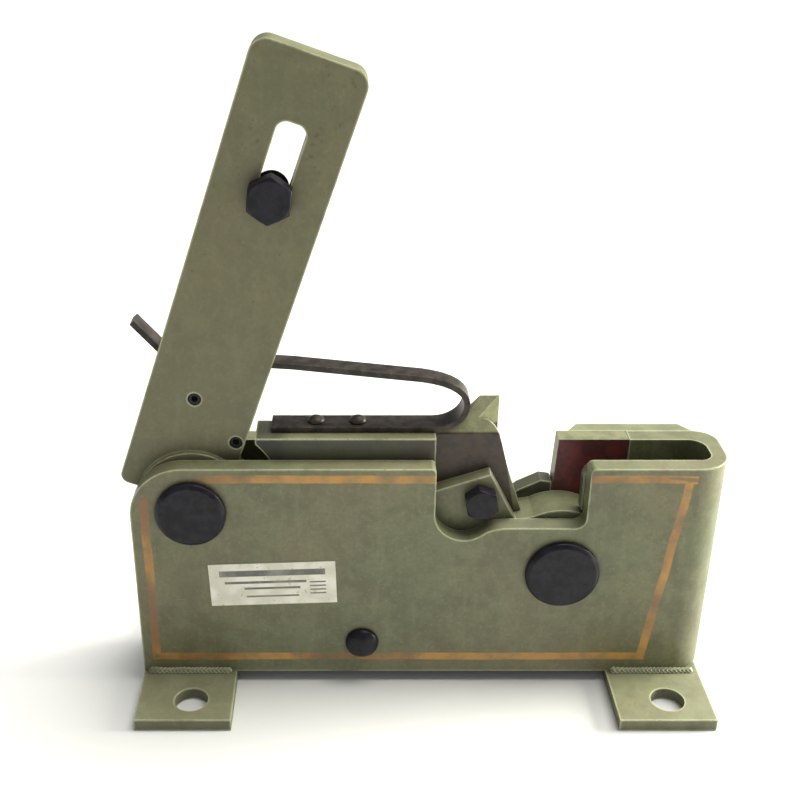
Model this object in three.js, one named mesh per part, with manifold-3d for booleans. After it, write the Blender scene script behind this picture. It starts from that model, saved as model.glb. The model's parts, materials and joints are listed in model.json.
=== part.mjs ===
// A hand-operated bar shear: a U-bent plate frame on two feet, a long lever whose pinion teeth
// turn a toothed blade arm, and a pair of blades that close across a notch in the frame.
// Millimetres, +Z up, the front of the machine faces -Y, the jaws are at the +X end.
// Working coordinates: x = 0 near mid frame, y = 0 on the front cheek's outer face, z = 0 ground.
// The last group moves them so that the origin is under the middle of the whole machine.

import * as THREE from "three";
import { mergeVertices } from "three/addons/utils/BufferGeometryUtils.js";
import Module from "manifold-3d";

const wasm = await Module();
wasm.setup();

// ---- Driving dimensions -------------------------------------------------------------------

const MACHINE_CENTRE_X = 44.722;
const MACHINE_CENTRE_Y = 25.5;
const RUNNING_GAP = 0.1; // radial clearance of a turning fit
const SEAT_GAP = 0.3; // clearance between parts that are fitted by hand

const PLATE = 12; // thickness of the frame plate
const JAW_GAP = 26; // inside width between the two cheeks
const REAR_INNER = PLATE + JAW_GAP; // inner face of the rear cheek
const REAR_OUTER = REAR_INNER + PLATE;
const FRAME_LEFT = -133.4;
const FRAME_RIGHT = 229.2;
const FRAME_BOTTOM = 8;
const FRAME_TOP = 157.8;
const FRAME_SHOULDER_R = 33;
const BEND = { web: 9.5, frontOuter: 21, frontInner: 8, rearOuter: 13, rearInner: 10 }; // in plan

const FOOT_THICK = 8;
const FOOT_WIDE = 60;
const FOOT_FRONT = -47;
const FOOT_BACK = 98;
const FOOT_LEFT_X = -133.3;
const FOOT_RIGHT_X = 166;
const FOOT_HOLE_R = 10.5;
const FOOT_HOLE_X = 33.5; // from the left edge of the foot
const FOOT_HOLE_INSET = 19; // from the front and back edges

const LEVER_PIN = { x: -96.4, z: 128, r: 14, headR: 21.5, headH: 5.2 };
const ARM_PIN = { x: 131.5, z: 84.5, r: 15, headR: 23, headH: 5.2 };
const BUSH_WALL = 3;
const SPACER = { x: 7.6, z: 31.5, boltR: 6, tubeR: 8.5, headR: 10.5, headH: 6.5 };

const LEVER_LEAN = THREE.MathUtils.degToRad(19.2);
const LEVER_WIDE = 65.5;
const LEVER_OFFSET = -14.2; // centre line of the bar from the pin, across the bar
const LEVER_TOP = 277.5; // end of the bar from the pin, along the bar
const LEVER_FOOT = -2; // lower end of the bar's left edge
const LEVER_FRONT = 16;
const LEVER_REAR = 34;
const LEVER_HUB_R = 34;
const HUB_FRONT = 12.5;
const HUB_REAR = 37.5;
const LEVER_SLOT = { across: -12.9, wide: 17, low: 189.3, high: 240, corner: 6 };
const CLAMP_AT = { across: -13.1, along: 197.8 };
const CLAMP = { r: 8, across: 24, headH: 10.5, end: 37.2 };
const CLAMP_RING = { front: 34.2, rear: 35.4, r: 10, groove: 1.2 }; // keeps the bolt in the slot
const ROLL_PIN_R = 4;
const ROLL_PINS = { upper: { across: -18.4, along: 66 }, lower: { across: 13.2, along: 46.3 } };

const GEAR_RATIO = 4; // lever turns four times as far as the blade arm
const PINION_TEETH = 12;
const PRESSURE_ANGLE = THREE.MathUtils.degToRad(25);
const ADDENDUM = 0.8; // in modules
const DEDENDUM = 1.05;
const BACKLASH = 0.8; // taken off each tooth's thickness
const PINION_SEGMENT_TEETH = 5;
const ARM_SEGMENT_TEETH = 5;

const BEAM_TOP = 171.6;
const BEAM_TIP_X = -57;
const BEAM_END_X = 51.7; // shoulder behind which the moving blade sits
const ARM_LOWER_EDGE = THREE.MathUtils.degToRad(199.2);
const ARM_HUB_R = 37.2;
const LUG_REAR = 22.2;
const BLADE_FRONT = 22.5;
const BLADE_REAR = 37.8;
const BLADE_BOLT = { x: 80.4, z: 129.8, r: 6, across: 19, headH: 8.5 };

const FIXED_BLADE_RIGHT = 174;
const FIXED_BLADE_FLOOR = 118;
const FIXED_BLADE_EDGE = { low: 128.2, high: 130.2 }; // x of the cutting edge at its two ends
const BLADE_TOE = [[103, 117.7], [107, 121.6], [121, 128.6], [127.9, 127.6]]; // rear cheek, x and z
const BLADE_SCREWS = [{ x: 148, z: 143 }, { x: 165, z: 132 }];
const BLADE_SCREW = { r: 4, headR: 6.5, headH: 7, inBlade: 42 };

const SPRING = { thick: 3.8, wide: 16.6, upperWide: 12.6, y: 29, left: -47.6 };
const SPRING_BEND = { right: 70.3, lowLong: 20, topLong: 34, high: 16.4 }; // half axes
const SPRING_KNEE = { x: -105, z: 212.4 };
const SPRING_TIP = { x: -129, z: 237.4 };
const SPRING_BACK = { from: 46, to: -41, y: 41.2 }; // the upper leg runs back to pass the lever
const RIVETS = { xs: [-20.6, 4.8], r: 3, headR: 5.2, headH: 3.8, deep: 14 };

const LABEL = { x: -48.1, z: 76.4, wide: 79, high: 30.8, thick: 0.5, turnDeg: 2.1 };

// ---- Materials ----------------------------------------------------------------------------

function paint(color, roughness, metalness) {
  return new THREE.MeshStandardMaterial({ color, roughness, metalness });
}

const MATERIALS = {
  olivePaint: paint(0x6b6c52, 0.45, 0.1),
  blackSteel: paint(0x2d2a30, 0.4, 0.7),
  springSteel: paint(0x3c3735, 0.5, 0.7),
  redBlade: paint(0x50262a, 0.5, 0.5),
  bronze: paint(0x9a7440, 0.4, 0.9),
  zinc: paint(0x8d8f92, 0.4, 0.9),
  label: paint(0xcdcbb9, 0.5, 0),
};

// ---- Solids -------------------------------------------------------------------------------

// A closed three.js geometry as a solid that can be joined and cut.
function toSolid(geometry) {
  const bare = geometry.clone();
  bare.deleteAttribute("normal");
  bare.deleteAttribute("uv");
  const merged = mergeVertices(bare, 1e-4);
  const corners = merged.index.array;
  const kept = [];
  for (let i = 0; i < corners.length; i += 3) {
    const [a, b, c] = [corners[i], corners[i + 1], corners[i + 2]];
    if (a !== b && b !== c && c !== a) kept.push(a, b, c);
  }
  return new wasm.Manifold(
    new wasm.Mesh({
      numProp: 3,
      vertProperties: merged.attributes.position.array,
      triVerts: new Uint32Array(kept),
    }),
  );
}

function toMesh(name, solid, material) {
  const { vertProperties, triVerts, numProp, numVert } = solid.getMesh();
  const points = new Float32Array(numVert * 3);
  for (let i = 0; i < numVert; i++) {
    points.set(vertProperties.subarray(i * numProp, i * numProp + 3), i * 3);
  }
  const geometry = new THREE.BufferGeometry();
  geometry.setAttribute("position", new THREE.BufferAttribute(points, 3));
  geometry.setIndex(new THREE.BufferAttribute(triVerts, 1));
  geometry.computeVertexNormals();
  const mesh = new THREE.Mesh(geometry, material);
  mesh.name = name;
  return mesh;
}

function outline(points) {
  return new THREE.Shape(points.map(([x, y]) => new THREE.Vector2(x, y)));
}

// A plate with an outline drawn in x and z, between two values of y.
function uprightPlate(shape, front, rear, curveSegments = 16) {
  const geometry = new THREE.ExtrudeGeometry(shape, {
    depth: rear - front,
    bevelEnabled: false,
    curveSegments,
  });
  return geometry.rotateX(Math.PI / 2).translate(0, rear, 0);
}

// A prism with a plan outline drawn in x and y, between two heights.
function prism(shape, bottom, top, curveSegments = 16) {
  const geometry = new THREE.ExtrudeGeometry(shape, {
    depth: top - bottom,
    bevelEnabled: false,
    curveSegments,
  });
  return geometry.translate(0, 0, bottom);
}

function rod(x, z, r, front, rear, sides = 48) {
  const geometry = new THREE.CylinderGeometry(r, r, rear - front, sides);
  return toSolid(geometry.translate(x, (front + rear) / 2, z));
}

function tube(x, z, inner, outer, front, rear, sides = 48) {
  return rod(x, z, outer, front, rear, sides).subtract(rod(x, z, inner, front - 1, rear + 1, sides));
}

// A turned piece about an axis along y: the profile is a list of [radius, y].
function turned(x, z, profile, sides = 48) {
  const points = profile.map(([r, y]) => new THREE.Vector2(r, y));
  return toSolid(new THREE.LatheGeometry(points, sides).translate(x, 0, z));
}

function hexPrism(x, z, across, front, rear, turn = 0) {
  const corner = across / Math.sqrt(3);
  const geometry = new THREE.CylinderGeometry(corner, corner, rear - front, 6);
  return toSolid(geometry.rotateY(turn).translate(x, (front + rear) / 2, z));
}

function join(...solids) {
  return solids.reduce((all, next) => all.add(next));
}

function cut(solid, ...tools) {
  return tools.reduce((left, tool) => left.subtract(tool), solid);
}

// ---- Frame and feet -----------------------------------------------------------------------

// The plan of one plate bent round into a U that opens to the left.
function framePlan() {
  const { web, frontOuter, frontInner, rearOuter, rearInner } = BEND;
  const inner = FRAME_RIGHT - web;
  const quarter = Math.PI / 2;
  const plan = new THREE.Shape();
  plan.moveTo(FRAME_LEFT, 0);
  plan.lineTo(FRAME_RIGHT - frontOuter, 0);
  plan.absarc(FRAME_RIGHT - frontOuter, frontOuter, frontOuter, -quarter, 0, false);
  plan.absarc(FRAME_RIGHT - rearOuter, REAR_OUTER - rearOuter, rearOuter, 0, quarter, false);
  plan.lineTo(FRAME_LEFT, REAR_OUTER);
  plan.lineTo(FRAME_LEFT, REAR_INNER);
  plan.absarc(inner - rearInner, REAR_INNER - rearInner, rearInner, quarter, 0, true);
  plan.absarc(inner - frontInner, PLATE + frontInner, frontInner, 0, -quarter, true);
  plan.lineTo(FRAME_LEFT, PLATE);
  plan.closePath();
  return plan;
}

// The side view of the frame before it is notched, with its round upper left shoulder.
function frameSide() {
  const side = new THREE.Shape();
  side.moveTo(FRAME_LEFT, FRAME_BOTTOM);
  side.lineTo(FRAME_RIGHT, FRAME_BOTTOM);
  side.lineTo(FRAME_RIGHT, FRAME_TOP);
  side.lineTo(FRAME_LEFT + FRAME_SHOULDER_R, FRAME_TOP);
  side.absarc(
    FRAME_LEFT + FRAME_SHOULDER_R,
    FRAME_TOP - FRAME_SHOULDER_R,
    FRAME_SHOULDER_R,
    Math.PI / 2,
    Math.PI,
    false,
  );
  side.closePath();
  return side;
}

// What is cut from the front cheek over the jaws: a round lobe on the left that clears the
// blade bolt, a ledge, and a filleted wall on the right.
function frontNotch() {
  const left = 51.6;
  const right = 143.6;
  const lip = 3;
  const lobe = 18;
  const lobeZ = 126;
  const ledge = 116.6;
  const fillet = 6.6;
  const above = FRAME_TOP + 10;
  const lobeEnd = THREE.MathUtils.degToRad(-50);
  const notch = new THREE.Shape();
  notch.moveTo(left - lip, above);
  notch.lineTo(left - lip, FRAME_TOP);
  notch.absarc(left - lip, FRAME_TOP - lip, lip, Math.PI / 2, 0, true);
  notch.lineTo(left, lobeZ);
  notch.absarc(left + lobe, lobeZ, lobe, Math.PI, 2 * Math.PI + lobeEnd, false);
  notch.quadraticCurveTo(86.4, ledge, 98, ledge);
  notch.lineTo(right - fillet, ledge);
  notch.absarc(right - fillet, ledge + fillet, fillet, -Math.PI / 2, 0, false);
  notch.lineTo(right, FRAME_TOP - lip);
  notch.absarc(right + lip, FRAME_TOP - lip, lip, Math.PI, Math.PI / 2, true);
  notch.lineTo(right + lip, above);
  notch.closePath();
  return notch;
}

// The rear cheek's notch: the throat on the left and the fixed blade's seat on the right.
function rearNotch() {
  const left = 60;
  const corner = 10;
  const floor = FIXED_BLADE_FLOOR - SEAT_GAP;
  const above = FRAME_TOP + 10;
  const notch = new THREE.Shape();
  notch.moveTo(left, above);
  notch.lineTo(left, floor + corner);
  notch.absarc(left + corner, floor + corner, corner, Math.PI, 1.5 * Math.PI, false);
  for (const [x, z] of BLADE_TOE) notch.lineTo(x, z);
  notch.lineTo(BLADE_TOE.at(-1)[0], floor);
  notch.lineTo(FIXED_BLADE_RIGHT + SEAT_GAP, floor);
  notch.lineTo(FIXED_BLADE_RIGHT + SEAT_GAP, above);
  notch.closePath();
  return notch;
}

function frame() {
  const bent = toSolid(prism(framePlan(), FRAME_BOTTOM, FRAME_TOP, 20));
  const side = toSolid(uprightPlate(frameSide(), -1, REAR_OUTER + 1));
  return cut(
    bent.intersect(side),
    toSolid(uprightPlate(frontNotch(), -1, PLATE + 1, 10)),
    toSolid(uprightPlate(rearNotch(), REAR_INNER - 1, REAR_OUTER + 1, 8)),
    rod(LEVER_PIN.x, LEVER_PIN.z, LEVER_PIN.r + RUNNING_GAP, -1, REAR_OUTER + 1),
    rod(ARM_PIN.x, ARM_PIN.z, ARM_PIN.r + RUNNING_GAP, -1, REAR_OUTER + 1),
    rod(SPACER.x, SPACER.z, SPACER.boltR + 0.2, -1, REAR_OUTER + 1, 32),
  );
}

function foot(left) {
  const plan = outline([
    [left, FOOT_FRONT],
    [left + FOOT_WIDE, FOOT_FRONT],
    [left + FOOT_WIDE, FOOT_BACK],
    [left, FOOT_BACK],
  ]);
  for (const y of [FOOT_FRONT + FOOT_HOLE_INSET, FOOT_BACK - FOOT_HOLE_INSET]) {
    const hole = new THREE.Path();
    hole.absarc(left + FOOT_HOLE_X, y, FOOT_HOLE_R, 0, 2 * Math.PI, true);
    plan.holes.push(hole);
  }
  return toSolid(prism(plan, 0, FOOT_THICK, 20));
}

// ---- Fixed jaw ----------------------------------------------------------------------------

function bladeScrewHoles(front, rear) {
  return BLADE_SCREWS.map(({ x, z }) => rod(x, z, BLADE_SCREW.r + RUNNING_GAP, front, rear, 24));
}

// The fixed blade stands in the rear cheek; its toe carries the bar from below.
function fixedBlade() {
  const side = outline([
    [FIXED_BLADE_EDGE.low, FIXED_BLADE_FLOOR],
    [FIXED_BLADE_RIGHT, FIXED_BLADE_FLOOR],
    [FIXED_BLADE_RIGHT, FRAME_TOP],
    [FIXED_BLADE_EDGE.high, FRAME_TOP],
  ]);
  const blade = toSolid(uprightPlate(side, REAR_INNER, REAR_OUTER));
  return cut(blade, ...bladeScrewHoles(BLADE_SCREW.inBlade, REAR_OUTER + 1));
}

function backingPlate() {
  const thick = 10;
  const chamfer = 7.5;
  const bottom = 112;
  const [left, right] = [137, 217];
  const plan = outline([
    [left, REAR_OUTER],
    [right, REAR_OUTER],
    [right - chamfer, REAR_OUTER + thick],
    [left + chamfer, REAR_OUTER + thick],
  ]);
  const plate = toSolid(prism(plan, bottom, FRAME_TOP));
  return cut(plate, ...bladeScrewHoles(REAR_OUTER - 1, REAR_OUTER + thick + 1));
}

function bladeScrew({ x, z }) {
  const back = REAR_OUTER + 10;
  const { r, headR, headH, inBlade } = BLADE_SCREW;
  const screw = turned(x, z, [
    [0, inBlade + 0.5],
    [r, inBlade + 0.5],
    [r, back],
    [headR, back],
    [headR, back + headH - 1],
    [headR - 1, back + headH],
    [0, back + headH],
  ], 24);
  return cut(screw, hexPrism(x, z, 6, back + headH - 4, back + headH + 1));
}

// A hardened block inside the front cheek that keeps the bar from tipping.
function guideBlock() {
  const left = 142;
  const right = 162;
  const corner = 9;
  const [bottom, top] = [122.2, 153];
  const side = new THREE.Shape();
  side.moveTo(left, bottom);
  side.lineTo(right, bottom);
  side.lineTo(right, top);
  side.lineTo(left + corner, top);
  side.absarc(left + corner, top - corner, corner, Math.PI / 2, Math.PI, false);
  side.closePath();
  return toSolid(uprightPlate(side, PLATE, 21, 8));
}

// ---- Pins and spacer ----------------------------------------------------------------------

const CLIP = { gap: 0.2, washer: 3, thick: 2, groove: 1.4, margin: 2.6 };

// A headed pivot pin with a groove for its circlip behind the rear cheek.
function pivotPin({ x, z, r, headR, headH }) {
  const clipFront = REAR_OUTER + CLIP.washer + CLIP.gap;
  const clipRear = clipFront + CLIP.thick + CLIP.gap;
  const end = clipRear + CLIP.margin;
  return turned(x, z, [
    [0, -headH],
    [headR - 2.4, -headH],
    [headR, -headH + 2],
    [headR, 0],
    [r, 0],
    [r, clipFront],
    [r - CLIP.groove, clipFront],
    [r - CLIP.groove, clipRear],
    [r, clipRear],
    [r, end - 1.2],
    [r - 1.2, end],
    [0, end],
  ]);
}

function pinWasher({ x, z, r }) {
  return tube(x, z, r + RUNNING_GAP, r + 8, REAR_OUTER, REAR_OUTER + CLIP.washer);
}

// An open ring with two eyes for the pliers, sprung into the pin's groove.
function circlip({ x, z, r }) {
  const front = REAR_OUTER + CLIP.washer + CLIP.gap;
  const rear = front + CLIP.thick;
  const eyeR = 2.6;
  const eyeX = 4.6;
  const eyeZ = z - r - 3.4;
  const ring = tube(x, z, r - CLIP.groove + RUNNING_GAP, r + 3, front, rear);
  const mouth = new THREE.BoxGeometry(4, CLIP.thick + 2, 12).translate(x, front + 1, z - r - 1);
  const eyes = [-eyeX, eyeX].map((dx) => rod(x + dx, eyeZ, eyeR, front, rear, 16));
  const holes = [-eyeX, eyeX].map((dx) => rod(x + dx, eyeZ, 1.1, front - 1, rear + 1, 12));
  return cut(join(ring, ...eyes), toSolid(mouth), ...holes);
}

function bush({ x, z, r }) {
  return tube(x, z, r + RUNNING_GAP, r + BUSH_WALL, HUB_FRONT, HUB_REAR);
}

function spacerBolt() {
  const { x, z, boltR, headR, headH } = SPACER;
  const dome = [];
  const steps = 6;
  for (let i = 0; i <= steps; i++) {
    const a = (i / steps) * (Math.PI / 2);
    dome.push([headR * Math.sin(a), -headH * (0.35 + 0.65 * Math.cos(a))]);
  }
  return turned(x, z, [...dome, [headR, 0], [boltR, 0], [boltR, 65], [0, 65]], 32);
}

// ---- Gear segments ------------------------------------------------------------------------

const centreDistance = Math.hypot(ARM_PIN.x - LEVER_PIN.x, ARM_PIN.z - LEVER_PIN.z);
const towardsArm = Math.atan2(ARM_PIN.z - LEVER_PIN.z, ARM_PIN.x - LEVER_PIN.x);
const pinionPitchR = centreDistance / (1 + GEAR_RATIO);
const gearModule = (2 * pinionPitchR) / PINION_TEETH;
const armPitchR = pinionPitchR * GEAR_RATIO;

function involute(angle) {
  return Math.tan(angle) - angle;
}

// One tooth as a closed outline about (0, 0), pointing along the given angle.
function toothOutline(pitchR, teeth, angle) {
  const baseR = pitchR * Math.cos(PRESSURE_ANGLE);
  const rootR = pitchR - DEDENDUM * gearModule;
  const tipR = pitchR + ADDENDUM * gearModule;
  const halfAtPitch = Math.PI / (2 * teeth) - BACKLASH / (2 * pitchR);
  const flank = [];
  const steps = 6;
  for (let i = 0; i <= steps; i++) {
    const r = rootR - 2 + ((tipR - rootR + 2) * i) / steps;
    const at = Math.acos(Math.min(1, baseR / Math.max(r, baseR)));
    flank.push([r, halfAtPitch + involute(PRESSURE_ANGLE) - involute(at)]);
  }
  const right = flank.map(([r, half]) => [r * Math.cos(angle - half), r * Math.sin(angle - half)]);
  const left = flank.map(([r, half]) => [r * Math.cos(angle + half), r * Math.sin(angle + half)]);
  return outline([...right, ...left.reverse()]);
}

function teeth(centre, pitchR, count, angles) {
  return angles.map((angle) =>
    toSolid(
      uprightPlate(toothOutline(pitchR, count, angle), HUB_FRONT, HUB_REAR).translate(
        centre.x,
        0,
        centre.z,
      ),
    ),
  );
}

// ---- Lever --------------------------------------------------------------------------------

// Lever geometry is drawn upright about the pin, then leant over and moved to the pin.
function leanLever(geometry) {
  return toSolid(geometry.rotateY(LEVER_LEAN).translate(LEVER_PIN.x, 0, LEVER_PIN.z));
}

function leverPoint(across, along) {
  return {
    x: LEVER_PIN.x + across * Math.cos(LEVER_LEAN) + along * Math.sin(LEVER_LEAN),
    z: LEVER_PIN.z + along * Math.cos(LEVER_LEAN) - across * Math.sin(LEVER_LEAN),
  };
}

function roundedBox(left, bottom, right, top, [leftLow, rightLow, rightHigh, leftHigh]) {
  const shape = new THREE.Shape();
  shape.moveTo(left + leftLow, bottom);
  shape.lineTo(right - rightLow, bottom);
  shape.absarc(right - rightLow, bottom + rightLow, rightLow, -Math.PI / 2, 0, false);
  shape.lineTo(right, top - rightHigh);
  shape.absarc(right - rightHigh, top - rightHigh, rightHigh, 0, Math.PI / 2, false);
  shape.lineTo(left + leftHigh, top);
  shape.absarc(left + leftHigh, top - leftHigh, leftHigh, Math.PI / 2, Math.PI, false);
  shape.lineTo(left, bottom + leftLow);
  shape.absarc(left + leftLow, bottom + leftLow, leftLow, Math.PI, 1.5 * Math.PI, false);
  return shape;
}

function leverBar() {
  const left = LEVER_OFFSET - LEVER_WIDE / 2;
  const right = LEVER_OFFSET + LEVER_WIDE / 2;
  const bar = roundedBox(left, LEVER_FOOT, right, LEVER_TOP, [6, 1, 9.5, 9.5]);
  const { across, wide, low, high, corner } = LEVER_SLOT;
  const slotLeft = across - wide / 2;
  const slot = roundedBox(slotLeft, low, slotLeft + wide, high, [corner, corner, corner, corner]);
  return cut(
    leanLever(uprightPlate(bar, LEVER_FRONT, LEVER_REAR, 10)),
    leanLever(uprightPlate(slot, LEVER_FRONT - 1, LEVER_REAR + 1, 8)),
  );
}

// The part of the hub under the pinion teeth, reaching out to their roots.
function pinionRim(angles) {
  const half = Math.PI / PINION_TEETH;
  const rim = new THREE.Shape();
  rim.moveTo(0, 0);
  rim.absarc(0, 0, pinionPitchR - DEDENDUM * gearModule, angles.at(-1) - half, angles[0] + half, false);
  rim.closePath();
  return toSolid(
    uprightPlate(rim, HUB_FRONT, HUB_REAR, 32).translate(LEVER_PIN.x, 0, LEVER_PIN.z),
  );
}

function lever() {
  const pitch = (2 * Math.PI) / PINION_TEETH;
  const angles = Array.from({ length: PINION_SEGMENT_TEETH }, (_, i) => towardsArm - i * pitch);
  const hub = rod(LEVER_PIN.x, LEVER_PIN.z, LEVER_HUB_R, HUB_FRONT, HUB_REAR, 64);
  const pinHoles = Object.values(ROLL_PINS).map(({ across, along }) => {
    const { x, z } = leverPoint(across, along);
    return rod(x, z, ROLL_PIN_R + RUNNING_GAP, LEVER_FRONT - 1, LEVER_REAR + 1, 20);
  });
  return cut(
    join(leverBar(), hub, pinionRim(angles), ...teeth(LEVER_PIN, pinionPitchR, PINION_TEETH, angles)),
    rod(LEVER_PIN.x, LEVER_PIN.z, LEVER_PIN.r + BUSH_WALL + RUNNING_GAP, 0, REAR_OUTER),
    ...pinHoles,
  );
}

function rollPin({ across, along }) {
  const { x, z } = leverPoint(across, along);
  return tube(x, z, 1.8, ROLL_PIN_R, LEVER_FRONT + 0.6, LEVER_REAR - 0.6, 20);
}

function clampBolt() {
  const { x, z } = leverPoint(CLAMP_AT.across, CLAMP_AT.along);
  const head = hexPrism(x, z, CLAMP.across, LEVER_FRONT - CLAMP.headH, LEVER_FRONT, LEVER_LEAN);
  const { front, rear, r, groove } = CLAMP_RING;
  return cut(
    join(head, rod(x, z, CLAMP.r, LEVER_FRONT - 1, CLAMP.end, 32)),
    tube(x, z, CLAMP.r - groove, r, front - RUNNING_GAP, rear + RUNNING_GAP, 32),
  );
}

function clampRing() {
  const { x, z } = leverPoint(CLAMP_AT.across, CLAMP_AT.along);
  const { front, rear, r, groove } = CLAMP_RING;
  return tube(x, z, CLAMP.r - groove + RUNNING_GAP, r, front, rear, 32);
}

// ---- Blade arm ----------------------------------------------------------------------------

function armPoint(r, angle) {
  return [ARM_PIN.x + r * Math.cos(angle), ARM_PIN.z + r * Math.sin(angle)];
}

// The arm's web: beam on top, toothed quadrant on the left, lower edge on the spacer.
function armWeb() {
  const rootR = armPitchR - DEDENDUM * gearModule;
  const undercut = pinionPitchR + ADDENDUM * gearModule + 3.6; // clears the pinion's tips
  const tipAngle = Math.acos((BEAM_TIP_X - LEVER_PIN.x) / undercut);
  const meet =
    towardsArm +
    Math.acos(
      (undercut ** 2 + centreDistance ** 2 - rootR ** 2) / (2 * undercut * centreDistance),
    );
  const meetX = LEVER_PIN.x + undercut * Math.cos(meet);
  const meetZ = LEVER_PIN.z + undercut * Math.sin(meet);
  const rootStart = Math.atan2(meetZ - ARM_PIN.z, meetX - ARM_PIN.x);
  const web = new THREE.Shape();
  web.moveTo(BEAM_END_X, BEAM_TOP);
  web.lineTo(BEAM_TIP_X, BEAM_TOP);
  web.absarc(LEVER_PIN.x, LEVER_PIN.z, undercut, tipAngle, meet, true);
  web.absarc(ARM_PIN.x, ARM_PIN.z, rootR, rootStart, ARM_LOWER_EDGE, false);
  web.lineTo(ARM_PIN.x, ARM_PIN.z);
  web.lineTo(135, 121.5);
  web.lineTo(100, 114.5);
  web.lineTo(BEAM_END_X, 114.5);
  web.closePath();
  return toSolid(uprightPlate(web, HUB_FRONT, HUB_REAR, 28));
}

// The lug in front of the moving blade, which its bolt passes through.
function bladeLug() {
  const side = outline([
    [40, 108],
    [100, 108],
    [104, 112],
    [85.7, 147.2],
    [BEAM_END_X, 135.6],
    [40, 131.6],
  ]);
  return toSolid(uprightPlate(side, HUB_FRONT, LUG_REAR));
}

function bladeArm() {
  const pitch = (2 * Math.PI) / (PINION_TEETH * GEAR_RATIO);
  const firstTooth = towardsArm + Math.PI - pitch / 2;
  const angles = Array.from({ length: ARM_SEGMENT_TEETH }, (_, i) => firstTooth + i * pitch);
  const armTeeth = teeth(ARM_PIN, armPitchR, PINION_TEETH * GEAR_RATIO, angles);
  const hub = rod(ARM_PIN.x, ARM_PIN.z, ARM_HUB_R, HUB_FRONT, HUB_REAR, 64);
  const { x, z, r } = BLADE_BOLT;
  return cut(
    join(armWeb(), hub, bladeLug(), ...armTeeth),
    rod(ARM_PIN.x, ARM_PIN.z, ARM_PIN.r + BUSH_WALL + RUNNING_GAP, 0, REAR_OUTER),
    rod(x, z, r + RUNNING_GAP, 0, LUG_REAR + 1, 32),
    ...RIVETS.xs.map((rivetX) => toSolid(rivetShank(rivetX, RIVETS.r + RUNNING_GAP, 1))),
  );
}

// The moving blade: a flat cheek behind the lug, rising to a horn at the back. The front
// slopes up to the horn, and the horn's right side is ground back behind the cutting edge.
function movingBlade() {
  const ridge = 188.7;
  const edgeX = 91.5;
  const hornFront = 28.6;
  const left = BEAM_END_X + SEAT_GAP;
  const cheek = [
    [left, 114.9],
    [100, 114.9],
    [106.8, 116.6],
    [98.8, 140],
  ];
  const shoulder = [
    [60, 172.2],
    [left, 171.2],
  ];
  const rounded = [[91.6, 166], [90.5, 170], [87.8, 174], [84, 176.8], [79, 178], [70, 178]];
  const horn = [[91.4, 168], [edgeX, ridge], [79.5, ridge], [71, 179.5]];
  const slope = outline([
    [BLADE_FRONT - 1, 168.1],
    [BLADE_REAR - 1, 188.8],
    [BLADE_REAR - 1, 200],
    [BLADE_FRONT - 1, 200],
  ]);
  const slopeCutter = new THREE.ExtrudeGeometry(slope, { depth: 60, bevelEnabled: false })
    .rotateX(Math.PI / 2)
    .rotateZ(Math.PI / 2)
    .translate(40, 0, 0);
  const relief = outline([
    [77.6, hornFront],
    [edgeX + 4, hornFront],
    [edgeX + 4, BLADE_REAR + 1],
    [edgeX, BLADE_REAR],
  ]);
  const { x, z, r } = BLADE_BOLT;
  return cut(
    join(
      toSolid(uprightPlate(outline([...cheek, ...rounded, ...shoulder]), BLADE_FRONT, hornFront)),
      toSolid(uprightPlate(outline([...cheek, ...horn, ...shoulder]), hornFront, BLADE_REAR)),
    ),
    toSolid(slopeCutter),
    toSolid(prism(relief, 163, 200)),
    rod(x, z, r + RUNNING_GAP, BLADE_FRONT - 1, BLADE_REAR - 2.3, 32),
  );
}

function movingBladeBolt() {
  const { x, z, r, across, headH } = BLADE_BOLT;
  const head = hexPrism(x, z, across, HUB_FRONT - headH, HUB_FRONT, LEVER_LEAN);
  return join(head, rod(x, z, r, HUB_FRONT - 1, BLADE_REAR - 3, 32));
}

// ---- Leaf spring --------------------------------------------------------------------------

const springLow = BEAM_TOP + SPRING.thick / 2;

// The middle line of the strip in side view, from its riveted end round to its upturned tip.
function springLine() {
  const { right, lowLong, topLong, high } = SPRING_BEND;
  const line = [SPRING.left, -22, 4, 28].map((x) => [x, springLow]);
  const steps = 16;
  for (let i = 0; i <= steps; i++) {
    const a = -Math.PI / 2 + (Math.PI * i) / steps;
    const long = a < 0 ? lowLong : topLong;
    line.push([right - long * (1 - Math.cos(a)), springLow + high * (1 + Math.sin(a))]);
  }
  const topZ = springLow + 2 * high;
  const legSteps = 8;
  for (let i = 1; i <= legSteps; i++) {
    const t = i / legSteps;
    line.push([
      THREE.MathUtils.lerp(right - topLong, SPRING_KNEE.x, t),
      THREE.MathUtils.lerp(topZ, SPRING_KNEE.z, t),
    ]);
  }
  line.push([SPRING_KNEE.x - 5, SPRING_KNEE.z + 3]);
  line.push([SPRING_KNEE.x - 10.5, SPRING_KNEE.z + 9.5]);
  line.push([SPRING_TIP.x, SPRING_TIP.z]);
  return line;
}

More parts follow.
